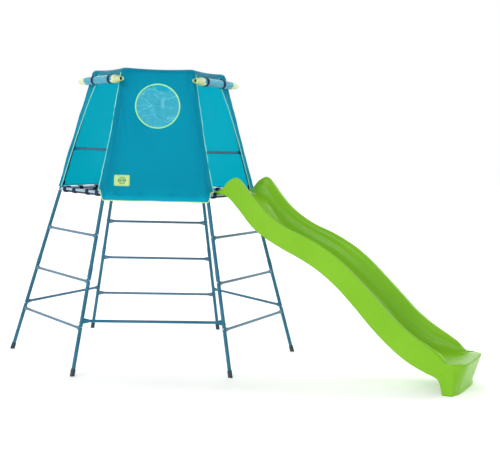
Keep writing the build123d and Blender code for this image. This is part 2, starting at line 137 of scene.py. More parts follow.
def door_edge(face, side, height):
    """Width of the cloth beside a doorway; side is -1 on its clockwise side, else 1."""
    top = DOOR_EDGE_TOP[face][0 if side < 0 else 1]
    t = min(1.0, max(0.0, (height - DOOR_HEM) / (DOOR_TOP - DOOR_HEM)))
    if top < DOOR_EDGE:
        return top + (DOOR_EDGE - top) * (1 - t) ** 4
    return DOOR_EDGE + (top - DOOR_EDGE) * t ** 4


def neighbour(face, side):
    """The doorway face beside a wall."""
    angle = (FACES[face] + 60 * side) % 360
    return next(name for name in FACES if FACES[name] == angle)


def wall_reach(face, side, height):
    """From a wall's middle to the end of its cloth beside the next doorway."""
    strip = door_edge(neighbour(face, side), -side, height)
    return ring(height) / 2 + CORNER_WRAP + strip


def hem_height(face, along):
    """The window wall's hem hangs low and steps up where it turns round the legs."""
    flutter = 0.0016 * noise.noise(Vector((along * 9, 4.0, 1.5)))
    if face != "window":
        return DOOR_HEM + flutter
    corner = ring(HEM) / 2
    step = smooth(corner - 0.006, corner + 0.030, abs(along))
    return HEM + flutter + (DOOR_HEM - HEM) * step


# ---- how the cloth creases -----------------------------------------------------------
def crease(across, up, seed):
    return noise.noise(Vector((across, up, seed)))


def wall_lift(along, climb, seed):
    """Sag and creases of a wall, outwards."""
    half = ring(min(climb, ROOF)) / 2
    centre = max(0.0, 1 - (along / half) ** 2)
    rise = (climb - HEM) / (ROOF - HEM)
    sag = -0.006 * centre * sin(pi * min(1, max(0, rise)))
    corner = 1 - smooth(0.0, 0.13, abs(abs(along) - half - 0.01))
    gathers = 0.0056 * corner * crease(along * 42, climb * 5.0, seed)
    gathers += 0.0030 * corner * crease(along * 95, climb * 16.0, seed + 3)
    pull = 0.0030 * crease(along * 7 + climb * 3.0, climb * 4.5, seed + 7)
    fine = 0.0005 * crease(along * 38, climb * 34.0, seed + 11)
    return sag + gathers + pull + fine


def top_lift(across, up, seed):
    """Looser crinkles of the roof and of the cloth above the doorways."""
    loose = 0.0022 * crease(across * 26, up * 30, seed)
    return loose + 0.0011 * crease(across * 70, up * 60, seed + 5)


# ---- making pieces -------------------------------------------------------------------
def map_cloth(bm, place):
    """Give the cloth its own map, from where each corner of its faces lies."""
    pattern = bm.loops.layers.uv.new("Pattern")
    for face in bm.faces:
        for loop in face.loops:
            loop[pattern].uv = place(loop.vert.co)


def lay_out(bm, place):
    """Keep the flat pattern as the cloth's own map, then move every point into place."""
    map_cloth(bm, lambda spot: spot.xy)
    for vert in bm.verts:
        vert.co = place(vert.co.x, vert.co.y)


def grid(bm, columns, rows, place):
    """A flat sheet from 0 to 1 each way, moved point by point."""
    made = bmesh.ops.create_grid(bm, x_segments=columns, y_segments=rows, size=0.5)
    for vert in made["verts"]:
        vert.co = place(vert.co.x + 0.5, vert.co.y + 0.5)
    return made["verts"]


def new_piece(name, bm, *materials, outward=True):
    mesh = bpy.data.meshes.new(name)
    if outward:
        bmesh.ops.recalc_face_normals(bm, faces=bm.faces)
    for face in bm.faces:
        face.smooth = True
    bm.to_mesh(mesh)
    bm.free()
    piece = bpy.data.objects.new(name, mesh)
    bpy.context.scene.collection.objects.link(piece)
    for material in materials:
        mesh.materials.append(material)
    return piece


def thicken(piece, thickness, offset=0.0):
    wall = piece.modifiers.new("Thickness", "SOLIDIFY")
    wall.thickness = thickness
    wall.offset = offset
    wall.use_even_offset = False
    return piece


def soften_edges(piece, width, segments=2):
    edge = piece.modifiers.new("Edge", "BEVEL")
    edge.width = width
    edge.segments = segments
    edge.limit_method = "ANGLE"
    edge.angle_limit = radians(40)
    return piece


def tube(name, paths, radius, material, closed=False, sides=4):
    """Round binding that follows each path."""
    curve = bpy.data.curves.new(name, "CURVE")
    curve.dimensions = "3D"
    curve.bevel_depth = radius
    curve.bevel_resolution = sides
    curve.use_fill_caps = not closed
    for path in paths:
        spline = curve.splines.new("POLY")
        spline.points.add(len(path) - 1)
        for point, spot in zip(spline.points, path):
            point.co = (*spot, 1.0)
        spline.use_cyclic_u = closed
    curve.materials.append(material)
    piece = bpy.data.objects.new(name, curve)
    bpy.context.scene.collection.objects.link(piece)
    return piece


def steps(count, low=0.0, high=1.0):
    return [low + (high - low) * k / count for k in range(count + 1)]


# ---- materials -----------------------------------------------------------------------
class Finish:
    """A material being put together, with short ways to add its nodes."""

    def __init__(self, name, colour, roughness):
        self.material = bpy.data.materials.new(name)
        self.material.use_nodes = True
        self.nodes = self.material.node_tree.nodes
        self.shader = self.nodes["Principled BSDF"]
        self.shader.inputs["Base Color"].default_value = (*colour, 1)
        self.shader.inputs["Roughness"].default_value = roughness
        self.place = self.nodes.new("ShaderNodeTexCoord").outputs["Object"]

    def link(self, source, target):
        self.material.node_tree.links.new(source, target)

    def set(self, **values):
        for name, value in values.items():
            self.shader.inputs[name.replace("_", " ")].default_value = value
        return self

    def follow(self, attribute):
        """Patterns follow the piece's own map."""
        node = self.nodes.new("ShaderNodeUVMap")
        node.uv_map = attribute
        self.place = node.outputs["UV"]
        return self

    def noise(self, scale, detail=3.0, stretch=None):
        node = self.nodes.new("ShaderNodeTexNoise")
        node.inputs["Scale"].default_value = scale
        node.inputs["Detail"].default_value = detail
        place = self.place
        if stretch:
            mapping = self.nodes.new("ShaderNodeMapping")
            mapping.inputs["Scale"].default_value = stretch
            self.link(place, mapping.inputs["Vector"])
            place = mapping.outputs["Vector"]
        self.link(place, node.inputs["Vector"])
        return node.outputs["Fac"]

    def waves(self, scale, direction, distortion=0.0):
        node = self.nodes.new("ShaderNodeTexWave")
        node.bands_direction = direction
        node.inputs["Scale"].default_value = scale
        node.inputs["Distortion"].default_value = distortion
        self.link(self.place, node.inputs["Vector"])
        return node.outputs["Fac"]

    def combine(self, operation, first, second):
        node = self.nodes.new("ShaderNodeMath")
        node.operation = operation
        for socket, value in zip(node.inputs, (first, second)):
            if isinstance(value, (int, float)):
                socket.default_value = value
            else:
                self.link(value, socket)
        return node.outputs["Value"]

    def spread(self, value, low, high, to_low, to_high):
        node = self.nodes.new("ShaderNodeMapRange")
        node.inputs["From Min"].default_value = low
        node.inputs["From Max"].default_value = high
        node.inputs["To Min"].default_value = to_low
        node.inputs["To Max"].default_value = to_high
        self.link(value, node.inputs["Value"])
        return node.outputs["Result"]

    def mix(self, factor, first, second):
        node = self.nodes.new("ShaderNodeMix")
        node.data_type = "RGBA"
        self.link(factor, node.inputs["Factor"])
        for key, colour in (("A", first), ("B", second)):
            socket = next(s for s in node.inputs if s.name == key and s.type == "RGBA")
            if isinstance(colour, tuple):
                socket.default_value = (*colour, 1)
            else:
                self.link(colour, socket)
        return next(s for s in node.outputs if s.type == "RGBA")

    def colour(self, source):
        self.link(source, self.shader.inputs["Base Color"])
        return self

    def roughen(self, source, low, high):
        self.link(self.spread(source, 0.3, 0.7, low, high), self.shader.inputs["Roughness"])
        return self

    def bump(self, height, distance, strength=1.0):
        node = self.nodes.new("ShaderNodeBump")
        node.inputs["Distance"].default_value = distance
        node.inputs["Strength"].default_value = strength
        self.link(height, node.inputs["Height"])
        before = self.shader.inputs["Normal"].links
        if before:
            self.link(before[0].from_socket, node.inputs["Normal"])
        self.link(node.outputs["Normal"], self.shader.inputs["Normal"])
        return self

    def let_light_through(self, colour, share):
        """Thin cloth glows where light falls on its other side."""
        glow = self.nodes.new("ShaderNodeBsdfTranslucent")
        glow.inputs["Color"].default_value = (*colour, 1)
        both = self.nodes.new("ShaderNodeMixShader")
        both.inputs["Fac"].default_value = share
        self.link(self.shader.outputs["BSDF"], both.inputs[1])
        self.link(glow.outputs["BSDF"], both.inputs[2])
        self.link(both.outputs["Shader"], self.nodes["Material Output"].inputs["Surface"])
        return self


def between(finish, source, low, first, high, second):
    """Colour from one tone to another as a pattern goes from low to high."""
    return finish.mix(finish.spread(source, low, high, 0, 1), first, second)


def painted(name, colour, worn):
    f = Finish(name, colour, 0.42)
    patches = f.noise(7, 4)
    f.colour(between(f, patches, 0.35, colour, 0.75, worn))
    f.roughen(f.noise(60, 3), 0.34, 0.52)
    f.bump(f.noise(900, 2), 0.0002, 0.25)
    return f.set(Specular_IOR_Level=0.30).material


def plated(name, colour, dull, metal):
    f = Finish(name, colour, 0.3).set(Metallic=metal)
    f.colour(between(f, f.noise(45, 5), 0.35, colour, 0.7, dull))
    f.roughen(f.noise(160, 4), 0.24, 0.42)
    f.bump(f.noise(700, 3), 0.0002, 0.2)
    return f.material


def coated_cloth(name, colour, deep, glow, share, attribute="Pattern"):
    f = Finish(name, colour, 0.5).follow(attribute)
    cloudy = f.noise(2.2, 5)
    f.colour(between(f, cloudy, 0.30, colour, 0.72, deep))
    f.roughen(f.noise(24, 4), 0.50, 0.66)
    weave = f.combine("MULTIPLY", f.waves(260, "X"), f.waves(260, "Y"))
    crinkle = f.noise(20, 6, (1.0, 0.45, 1.0))
    f.bump(crinkle, 0.0060, 0.60)
    f.bump(weave, 0.0003, 0.5)
    f.set(Specular_IOR_Level=0.12)
    return f.let_light_through(glow, share).material


def webbing(name, colour, light, attribute="Pattern"):
    f = Finish(name, colour, 0.7).follow(attribute)
    ribs = f.waves(170, "Y")
    twill = f.waves(95, "DIAGONAL")
    both = f.combine("ADD", ribs, twill)
    f.colour(between(f, both, 0.4, colour, 1.8, light))
    f.bump(both, 0.0008, 0.6)
    f.roughen(f.noise(80), 0.62, 0.82)
    return f.set(Specular_IOR_Level=0.20).material


PAINT = painted("teal_paint", (0.008, 0.120, 0.205), (0.026, 0.170, 0.270))
# Guard bars: the rung blue made dark navy as painted shade, for bars that stand in shade inside
# the den.
GUARD_BAR_PAINTED_SHADE = painted("navy_bar_painted_shade", (0.000, 0.080, 0.175), (0.001, 0.100, 0.205))
# Deck rails: pale plated steel, with the whole tube paled further as a painted highlight.
PALE_RAIL_WITH_HIGHLIGHT = plated("plated_rail_painted_highlight", (0.42, 0.55, 0.66), (0.26, 0.40, 0.50), 0.35)
RUNG_STEEL = plated("rung_tube", (0.090, 0.210, 0.310), (0.055, 0.150, 0.240), 0.20)
ZINC = plated("bright_zinc", (0.66, 0.70, 0.74), (0.46, 0.50, 0.55), 0.9)


def rubber():
    f = Finish("foot_rubber", (0.012, 0.030, 0.050), 0.62)
    f.colour(between(f, f.noise(30, 4), 0.3, (0.010, 0.026, 0.045), 0.75, (0.030, 0.055, 0.075)))
    f.roughen(f.noise(120), 0.5, 0.75)
    return f.bump(f.noise(500, 3), 0.0003, 0.4).material


WALL_CLOTH = coated_cloth(
    "turquoise_wall", (0.000, 0.330, 0.480), (0.000, 0.285, 0.430), (0.0, 0.90, 1.0), 0.55)
# Roof and the cloth above the doorways: the walls' cloth in a paler blue, painted light for the
# light falling on it from above.
LIT_ROOF_CLOTH = coated_cloth(
    "turquoise_roof_painted_light", (0.090, 0.420, 0.530), (0.035, 0.270, 0.390), (0.03, 0.70, 0.84), 0.45)
DECK_CLOTH = coated_cloth(
    "deck_cloth", (0.010, 0.030, 0.075), (0.006, 0.018, 0.050), (0.01, 0.03, 0.07), 0.05)
NAVY_WEB = webbing("navy_webbing", (0.003, 0.016, 0.050), (0.009, 0.034, 0.085))


def binding(name, colour, light):
    f = Finish(name, colour, 0.45)
    f.colour(between(f, f.noise(35, 4), 0.3, colour, 0.7, light))
    f.bump(f.noise(650, 2), 0.0004, 0.5)
    f.roughen(f.noise(90), 0.38, 0.55)
    return f.set(Sheen_Weight=0.1).material


MINT = binding("mint_binding", (0.22, 0.80, 0.66), (0.32, 0.88, 0.74))
LIME_BINDING = binding("lime_binding", (0.46, 0.76, 0.34), (0.56, 0.84, 0.46))
RING_BINDING = binding("window_binding", (0.30, 0.78, 0.36), (0.38, 0.86, 0.46))
NAVY_EDGE = binding("navy_edge", (0.008, 0.020, 0.055), (0.018, 0.036, 0.085))


def tinted_film():
    """Soft tinted vinyl with painted highlights: pale streaks along ridges of a noise stand in
    for light on its creases.
    """
    f = Finish("tinted_vinyl", (0.002, 0.40, 0.56), 0.14).follow("Pattern")
    f.bump(f.noise(9, 5, (1.0, 0.6, 1.0)), 0.004, 0.30)
    f.roughen(f.noise(12, 4), 0.08, 0.20)
    streak_noise = f.noise(6, 2, (0.8, 2.0, 1.0))
    painted_highlight_ridge = f.combine("ABSOLUTE", f.combine("SUBTRACT", streak_noise, 0.5), 0)
    # Painted highlight: the colour turns pale along the noise ridges.
    f.colour(between(f, painted_highlight_ridge, 0.0, (0.10, 0.60, 0.74), 0.016, (0.001, 0.42, 0.58)))
    return f.set(Alpha=0.80, Specular_IOR_Level=0.35).material


def flap_cloth():
    """Turquoise cloth with a wide pale binding down both sides of the flap."""
    f = Finish("flap_cloth", (0.02, 0.33, 0.47), 0.5).follow("Pattern")
    split = f.nodes.new("ShaderNodeSeparateXYZ")
    f.link(f.place, split.inputs["Vector"])
    inboard = split.outputs["X"]
    cloth = between(f, f.noise(30, 5), 0.3, (0.020, 0.300, 0.440), 0.7, (0.060, 0.390, 0.520))
    tape = between(f, f.noise(60, 4), 0.35, (0.640, 0.700, 0.360), 0.7, (0.860, 0.860, 0.640))
    rim = f.mix(f.spread(inboard, 0.0035, 0.0050, 0, 1), (0.50, 0.78, 0.26), tape)
    f.colour(f.mix(f.spread(inboard, 0.030, 0.032, 0, 1), rim, cloth))
    weave = f.combine("MULTIPLY", f.waves(260, "X"), f.waves(260, "Y"))
    f.bump(f.noise(26, 6), 0.004, 0.6)
    f.bump(weave, 0.0003, 0.5)
    f.roughen(f.noise(24, 4), 0.42, 0.60)
    return f.set(Sheen_Weight=0.12).material


def patch_print():
    """Plain lime woven label cloth; its stitched border and dark six-sided mark are drawn as
    separate pieces.
    """
    f = Finish("lime_patch", (0.45, 0.72, 0.3), 0.6).follow("Pattern")
    weave = f.combine("MULTIPLY", f.waves(420, "X"), f.waves(420, "Y"))
    f.colour(between(f, f.noise(40, 4), 0.3, (0.42, 0.70, 0.22), 0.7, (0.56, 0.80, 0.34)))
    f.bump(weave, 0.0003, 0.5)
    return f.roughen(f.noise(60), 0.5, 0.7).material


def moulded_green():
    f = Finish("lime_plastic", (0.19, 0.48, 0.010), 0.32)
    f.colour(between(f, f.noise(2.5, 4), 0.3, (0.180, 0.455, 0.004), 0.72, (0.212, 0.500, 0.010)))
    f.bump(f.noise(420, 3), 0.0002, 0.25)
    f.bump(f.noise(7, 2), 0.004, 0.25)
    f.roughen(f.noise(28, 4), 0.27, 0.40)
    return f.set(Specular_IOR_Level=0.30).material


RUBBER = rubber()
FILM = tinted_film()
FLAP = flap_cloth()
PATCH = patch_print()
PLASTIC = moulded_green()
PATCH_MARK = binding("patch_mark", (0.020, 0.110, 0.100), (0.035, 0.150, 0.120))

# ---- finishes of the tube frame ------------------------------------------------------
for name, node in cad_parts.items():
    if name.startswith("leg_") or name.startswith("brace_") or name == "top_rails":
        finish = PAINT
    elif name.startswith("rung_"):
        finish = RUNG_STEEL
    elif name.startswith("guard_bar_"):
        finish = GUARD_BAR_PAINTED_SHADE
    elif name.startswith("deck_rail_"):
        finish = PALE_RAIL_WITH_HIGHLIGHT
    elif name.endswith("_bolts"):
        finish = ZINC
    elif name == "foot_caps":
        finish = RUBBER
    else:
        continue
    for place in range(len(node.data.materials)):
        node.data.materials[place] = finish

# ---- cover: three walls --------------------------------------------------------------
WALL_COLUMNS, WALL_ROWS = 72, 64
WINDOW_COLUMNS, WINDOW_ROWS = 14, 10    # half the columns and rows that the window takes
ROUND_WINDOW = 1.7                      # how far out, in windows, the lines bend round it


def bent_round_window(u, v, flat):
    """Point of the flat wall, with its rows and columns bent round the window."""
    centre_row = round((WINDOW_HEIGHT - HEM) / (SEAM - HEM) * WALL_ROWS)
    x = (u - 0.5) * WALL_COLUMNS / WINDOW_COLUMNS
    y = (v * WALL_ROWS - centre_row) / WINDOW_ROWS
    size = max(abs(x), abs(y))
    if size >= ROUND_WINDOW or size < 1e-6:
        return flat(u, v)
    turn = Vector((x, y)).normalized() * WINDOW_RADIUS
    on_rim = Vector((turn.x, WINDOW_HEIGHT + turn.y, 0))
    if size <= 1:
        return Vector((turn.x * size, WINDOW_HEIGHT + turn.y * size, 0))
    grow = ROUND_WINDOW / size
    beyond = flat(0.5 + (u - 0.5) * grow, (centre_row + y * grow * WINDOW_ROWS) / WALL_ROWS)
    return on_rim.lerp(beyond, (size - 1) / (ROUND_WINDOW - 1))


def wall(face, seed):
    angle = FACES[face]

    def flat(u, v):
        side = -1 if u < 0.5 else 1
        share = abs(u - 0.5) * 2
        at_hem = side * share * wall_reach(face, side, DOOR_HEM)
        low = hem_height(face, at_hem)
        climb = low + v * (SEAM - low)
        return Vector((side * share * wall_reach(face, side, climb), climb, 0))

    bm = bmesh.new()
    if face == "window":
        grid(bm, WALL_COLUMNS, WALL_ROWS, lambda u, v: bent_round_window(u, v, flat))
        centre = Vector((0, WINDOW_HEIGHT, 0))
        opening = [
            poly for poly in bm.faces
            if all((vert.co - centre).length < WINDOW_RADIUS + 0.0005 for vert in poly.verts)
        ]
        bmesh.ops.delete(bm, geom=opening, context="FACES")
    else:
        grid(bm, WALL_COLUMNS, WALL_ROWS, flat)
    lay_out(bm, lambda x, y: over_shoulder(angle, x, y, wall_lift(x, y, seed)))
    piece = thicken(new_piece(f"cover_{face}_wall", bm, WALL_CLOTH), CLOTH)
    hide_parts(f"cover_wall_{face}")
    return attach(piece, "frame")


for number, face in enumerate(WALL_FACES):
    wall(face, WALL_SEED * number)

# ---- cover: roof with the cloth above the doorways -----------------------------------
ROOF_SAG = 0.034
TURN_SHARE = 0.25           # share of the roof's rows that lie on the shoulder


def roof_point(angle, u, v):
    """v runs from the seam over the shoulder to the middle of the roof."""
    reach = ring(SHOULDER_START) / 2 + CORNER_WRAP / 2
    along = (u * 2 - 1) * reach
    if v <= TURN_SHARE:
        turn = SEAM_TURN + (pi / 2 - SEAM_TURN) * v / TURN_SHARE
        return over_shoulder(angle, along, SHOULDER_START + SHOULDER * (turn - FACE_LEAN))
    edge = over_shoulder(angle, along, SHOULDER_START + SHOULDER * (pi / 2 - FACE_LEAN))
    inward = (v - TURN_SHARE) / (1 - TURN_SHARE)
    share = 1 - inward
    x = TOWER_X + (edge.x - TOWER_X) * share
    y = edge.y * share
    sag = ROOF_SAG * (1 - share ** 2)
    ripple = 0.003 * noise.noise(Vector((x * 9, y * 9, 2.0))) * smooth(0, 0.15, inward)
    return Vector((x, y, edge.z - sag + ripple))


def roof():
    bm = bmesh.new()
    for face, angle in FACES.items():
        grid(bm, 30, 24, lambda u, v: roof_point(angle, u, v))
        if face in DOOR_FACES:
            def header(u, v):
                climb = DOOR_TOP + v * (SEAM - DOOR_TOP)
                half = ring(min(climb, SHOULDER_START)) / 2
                low = -half + door_edge(face, -1, DOOR_TOP)
                high = half - door_edge(face, 1, DOOR_TOP)
                along = low + (high - low) * u
                loose = sin(pi * v) * top_lift(along, climb, angle)
                return over_shoulder(angle, along, climb, loose)
            grid(bm, 40, 10, header)
    bmesh.ops.remove_doubles(bm, verts=bm.verts, dist=0.0004)
    map_cloth(bm, lambda spot: (spot.x + 0.4 * spot.z, spot.y + 0.9 * spot.z))
    piece = thicken(new_piece("cover_top", bm, LIT_ROOF_CLOTH), CLOTH)
    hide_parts("cover_roof")
    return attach(piece, "frame")


roof()

# ---- bindings along the doorways, the hems and the window ----------------------------
BINDING = 0.0034
RING_RADIUS = 0.0052


def wall_edge(face, side, count=60):
    """Line up the end of a wall's cloth, beside a doorway, from its hem to the shoulder."""
    path = []
    for climb in steps(count, DOOR_HEM, SHOULDER_START - 0.012):
        along = side * wall_reach(face, side, climb)
        path.append(over_shoulder(FACES[face], along, climb, wall_lift(along, climb, 0) + 0.001))
    return path


def hem_line(face, seed, count=130):
    """Line along the low edge of a wall, from doorway to doorway."""
    low = -wall_reach(face, -1, DOOR_HEM)
    high = wall_reach(face, 1, DOOR_HEM)
    path = []
    for along in steps(count, low, high):
        climb = hem_height(face, along)
        path.append(round_tower(FACES[face], along, climb, wall_lift(along, climb, seed)))
    return path


def window_rim(count=96):
    """Points round the window's edge."""
    path = []
    for t in steps(count - 1, 0, 2 * pi * (count - 1) / count):
        along = WINDOW_RADIUS * cos(t)
        climb = WINDOW_HEIGHT + WINDOW_RADIUS * sin(t)
        lift = wall_lift(along, climb, WINDOW_WALL_SEED)
        path.append(over_shoulder(FACES["window"], along, climb, lift))
    return path


door_lines = [wall_edge(face, side) for face in WALL_FACES for side in (-1, 1)]
hem_lines = {face: hem_line(face, WALL_SEED * k) for k, face in enumerate(WALL_FACES)}
window_hem = hem_lines.pop("window")
for piece in (
    tube("doorway_binding", door_lines, BINDING, MINT),
    tube("hem_binding", [window_hem], BINDING, LIME_BINDING),
    tube("back_hem_binding", list(hem_lines.values()), BINDING, WALL_CLOTH),
    tube("window_ring", [window_rim()], RING_RADIUS, RING_BINDING, closed=True),
):
    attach(piece, "frame")

# ---- window film ---------------------------------------------------------------------
FILM_THICKNESS = 0.0006
FILM_RINGS = 22


def film():
    bm = bmesh.new()
    spoke = [
        bm.verts.new((WINDOW_RADIUS * k / FILM_RINGS, 0, 0)) for k in range(FILM_RINGS + 1)
    ]
    edges = [bm.edges.new(pair) for pair in zip(spoke, spoke[1:])]
    bmesh.ops.spin(
        bm, geom=[*spoke, *edges], axis=(0, 0, 1), cent=(0, 0, 0), angle=2 * pi, steps=72,
        use_merge=True,
    )
    bmesh.ops.remove_doubles(bm, verts=bm.verts, dist=MERGE)

    def place(x, y):
        inside = 1 - (x * x + y * y) / WINDOW_RADIUS ** 2
        fold = 0.010 * inside * crease(x * 9 + y * 5, y * 17 - x * 6, 6.0)
        fold += 0.004 * sqrt(max(0, inside)) * crease(x * 30, y * 22, 9.0)
        lift = wall_lift(x, WINDOW_HEIGHT + y, WINDOW_WALL_SEED) + fold
        return over_shoulder(FACES["window"], x, WINDOW_HEIGHT + y, lift)

    lay_out(bm, place)
    piece = thicken(new_piece("window_sheet", bm, FILM), FILM_THICKNESS)
    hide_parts("window_film")
    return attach(piece, "frame")


film()

# ---- patch ---------------------------------------------------------------------------
PATCH_WIDTH, PATCH_TALL = 0.105, 0.074
PATCH_ALONG, PATCH_UP = -0.229, 1.272
PATCH_CORNER = 0.009
PATCH_CLOTH = 0.0012
PATCH_MARGIN = 0.006        # edge to the stitches
STITCH_PITCH = 0.0045
STITCH_LIFT = 0.0026
MARK_LIFT = 0.0030


def on_patch(x, y, lift=0.0016):
    along, climb = PATCH_ALONG + x, PATCH_UP + y
    curl = 0.0012 * crease(x * 30, y * 30, 3.0)
    cloth = wall_lift(along, climb, WINDOW_WALL_SEED)
    return round_tower(FACES["window"], along, climb, cloth + lift + curl)


def patch():
    bm = bmesh.new()
    bmesh.ops.create_grid(bm, x_segments=28, y_segments=20, size=0.5)
    straight = PATCH_WIDTH / 2 - PATCH_CORNER, PATCH_TALL / 2 - PATCH_CORNER
    for vert in bm.verts:
        x, y = vert.co.x * PATCH_WIDTH, vert.co.y * PATCH_TALL
        dx, dy = abs(x) - straight[0], abs(y) - straight[1]
        if dx > 0 and dy > 0:
            pull = max(dx, dy) / sqrt(dx * dx + dy * dy)
            x = copysign(straight[0] + dx * pull, x)
            y = copysign(straight[1] + dy * pull, y)
        vert.co = (x, y, 0)
    lay_out(bm, on_patch)
    piece = thicken(new_piece("patch_label", bm, PATCH), PATCH_CLOTH)
    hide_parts("side_patch")
    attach(piece, "frame")
    width, tall = PATCH_WIDTH / 2 - PATCH_MARGIN, PATCH_TALL / 2 - PATCH_MARGIN
    border = [(-width, -tall), (width, -tall), (width, tall), (-width, tall), (-width, -tall)]
    stitches = []
    for (x0, y0), (x1, y1) in zip(border, border[1:]):
        count = int(sqrt((x1 - x0) ** 2 + (y1 - y0) ** 2) / STITCH_PITCH)
        for k in range(count):
            stitches.append([
                on_patch(x0 + (x1 - x0) * t, y0 + (y1 - y0) * t, STITCH_LIFT)
                for t in ((k + 0.2) / count, (k + 0.75) / count)
            ])
    thread = tube("patch_stitches", stitches, 0.0005, PATCH_MARK, sides=1)
    mark = tube(
        "patch_emblem",
        [[on_patch(width * cos(t), tall * sin(t), MARK_LIFT) for t in turns]
         for width, tall, turns in (
             (0.026, 0.024, steps(6, 0, 2 * pi)), (0.026, 0.024, (0, pi)),
             (0.014, 0.013, steps(6, 0, 2 * pi)))],
        0.0017, PATCH_MARK, sides=2,
    )
    for extra in (thread, mark):
        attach(extra, "frame")


patch()

# ---- rolled door flaps ---------------------------------------------------------------
ROLL_OUT = 0.058            # leg plane to the roll's middle
ROLL_HEIGHT = 1.945
ROLL_CORE = 0.0125
ROLL_RADIUS = 0.0292
ROLL_TURNS = 5.6
ROLL_HALF = 0.335           # half the flap's width at its low edge, which lies in the core
ROLL_HALF_TOP = 0.232
ROLL_LARGEST = 0.0299       # no puff of the roll is larger
ROLL_SEED = 5.0
FLAP_CLOTH = 0.0011
STRAP_SPACING = 0.250
STRAP_WIDTH = 0.026
STRAP = 0.0016
CURTAIN_OUT = 0.0262        # leg plane to the curtain
CURTAIN_CLOTH = 0.0008
CURTAIN_DRAWN_OUT = 28      # how many times longer the curtain is when the flap is down


def roll_frame(angle):
    """Along the roll, out of the face and up its slope."""
    along = turned(angle, 1, 0)
    out = turned(angle, 0, cos(FACE_LEAN)) + Vector((0, 0, sin(FACE_LEAN)))
    up = turned(angle, 0, -sin(FACE_LEAN)) + Vector((0, 0, cos(FACE_LEAN)))
    return along, out, up


def beside_roll(angle, along_roll, out_part, up_part):
    along, out, up = roll_frame(angle)
    middle = on_face(angle, 0, ROLL_HEIGHT, ROLL_OUT)
    return middle + along * along_roll + out * out_part + up * up_part


def roll_shape(along, turn, seed):
    """Radius of the rolled cloth, a little uneven between its straps."""
    puff = 1 + 0.045 * crease(along * 6, cos(turn) * 0.7, seed + sin(turn) * 0.7)
    return puff - 0.05 * smooth(0.02, 0.0, abs(abs(along) - STRAP_SPACING / 2))


def flap_roll(face, seed):
    angle = FACES[face]
    body = f"door_flap_{face}"
    bm = bmesh.new()
    bmesh.ops.create_grid(bm, x_segments=60, y_segments=156, size=0.5)

    def half_width(spot):
        return ROLL_HALF + (ROLL_HALF_TOP - ROLL_HALF) * (spot.y + 0.5)

    map_cloth(bm, lambda spot: (half_width(spot) * (1 - abs(spot.x * 2)), (spot.y + 0.5) * 0.72))
    for vert in bm.verts:
        v = vert.co.y + 0.5
        along = vert.co.x * 2 * half_width(vert.co)
        turn = 2 * pi * ROLL_TURNS * v + 0.6 * pi
        radius = (ROLL_CORE + (ROLL_RADIUS - ROLL_CORE) * v) * roll_shape(along, turn, seed)
        radius = min(radius, ROLL_LARGEST)
        droop = -0.002 * smooth(0.15, 0.34, abs(along))
        vert.co = beside_roll(angle, along, radius * cos(turn), radius * sin(turn) + droop)
    piece = thicken(new_piece(f"rolled_flap_{face}", bm, FLAP, outward=False), FLAP_CLOTH)
    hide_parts(f"door_roll_{face}")
    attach(piece, body)


def straps(face):
    angle = FACES[face]
    left, right = DOOR_EDGE_TOP[face]
    middle = (left - right) / 2
    bm = bmesh.new()
    for side in (-1, 1):
        place = middle + side * STRAP_SPACING / 2

        def wrap(u, v):
            turn = radians(95) + radians(430) * v
            radius = 0.0308 + 0.0026 * smooth(0.10, 0.25, v) * v + 0.003 * smooth(0.9, 1.0, v)
            along = place + (u - 0.5) * STRAP_WIDTH
            return beside_roll(angle, along, radius * cos(turn), radius * sin(turn))

        grid(bm, 6, 56, wrap)
    map_cloth(bm, lambda spot: (spot.x * 0.3, spot.z))
    piece = thicken(new_piece(f"flap_straps_{face}", bm, NAVY_WEB, outward=False), STRAP)
    soften_edges(piece, 0.0004, 1)
    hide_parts(f"roll_straps_{face}")
    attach(piece, f"door_flap_{face}")


def curtain(face):
    """Cloth between doorway and roll: a gathered band; its map is squeezed to the length it would
    draw out to as the roll goes down.
    """
    angle = FACES[face]
    top, low = ROLL_HEIGHT + 0.030, ROLL_HEIGHT + 0.004

    def place(u, v):
        half = ROLL_HALF_TOP - 0.020 + (ROLL_HALF - 0.045 - ROLL_HALF_TOP) * v ** 1.5
        along = (u * 2 - 1) * half
        return on_face(angle, along, top + (low - top) * v, CURTAIN_OUT + 0.0012 * v)

    bm = bmesh.new()
    grid(bm, 44, 40, place)
    map_cloth(bm, lambda spot: (spot.x + spot.y, (top - spot.z) * CURTAIN_DRAWN_OUT))
    name = f"flap_curtain_{face}"
    piece = thicken(new_piece(name, bm, WALL_CLOTH, outward=False), CURTAIN_CLOTH)
    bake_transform(piece)


for number, face in enumerate(DOOR_FACES):
    flap_roll(face, ROLL_SEED * number)
    straps(face)
    curtain(face)

# ---- deck ----------------------------------------------------------------------------
DECK_TOP = deck_high.z
RAIL_HEIGHT = 1.185
NOTCH = 0.062               # radius cut away round each leg
DECK_STEPS = 288            # points round the deck's edge
DECK_SAG = 0.0065
DECK_SAG_REACH = 0.6        # from the middle to where the sag ends
DECK_DEPTH = 0.005          # middle of the cloth below the deck's top
DECK_CLOTH_THICKNESS = 0.004
DECK_HEM_RADIUS = 0.0052


def deck_reach(direction):
    """From the tower's middle to the deck's edge, which is cut back round each leg."""
    apothem = ring(RAIL_HEIGHT) * cos(pi / 6) + 0.006
    off = (direction + pi / 6) % (pi / 3) - pi / 6
    reach = apothem / cos(off)
    leg = ring(RAIL_HEIGHT)
    aside = leg * sin(abs(pi / 6 - abs(off)))
    if aside < NOTCH:
        reach = min(reach, leg * cos(pi / 6 - abs(off)) - sqrt(NOTCH ** 2 - aside ** 2))
    return reach


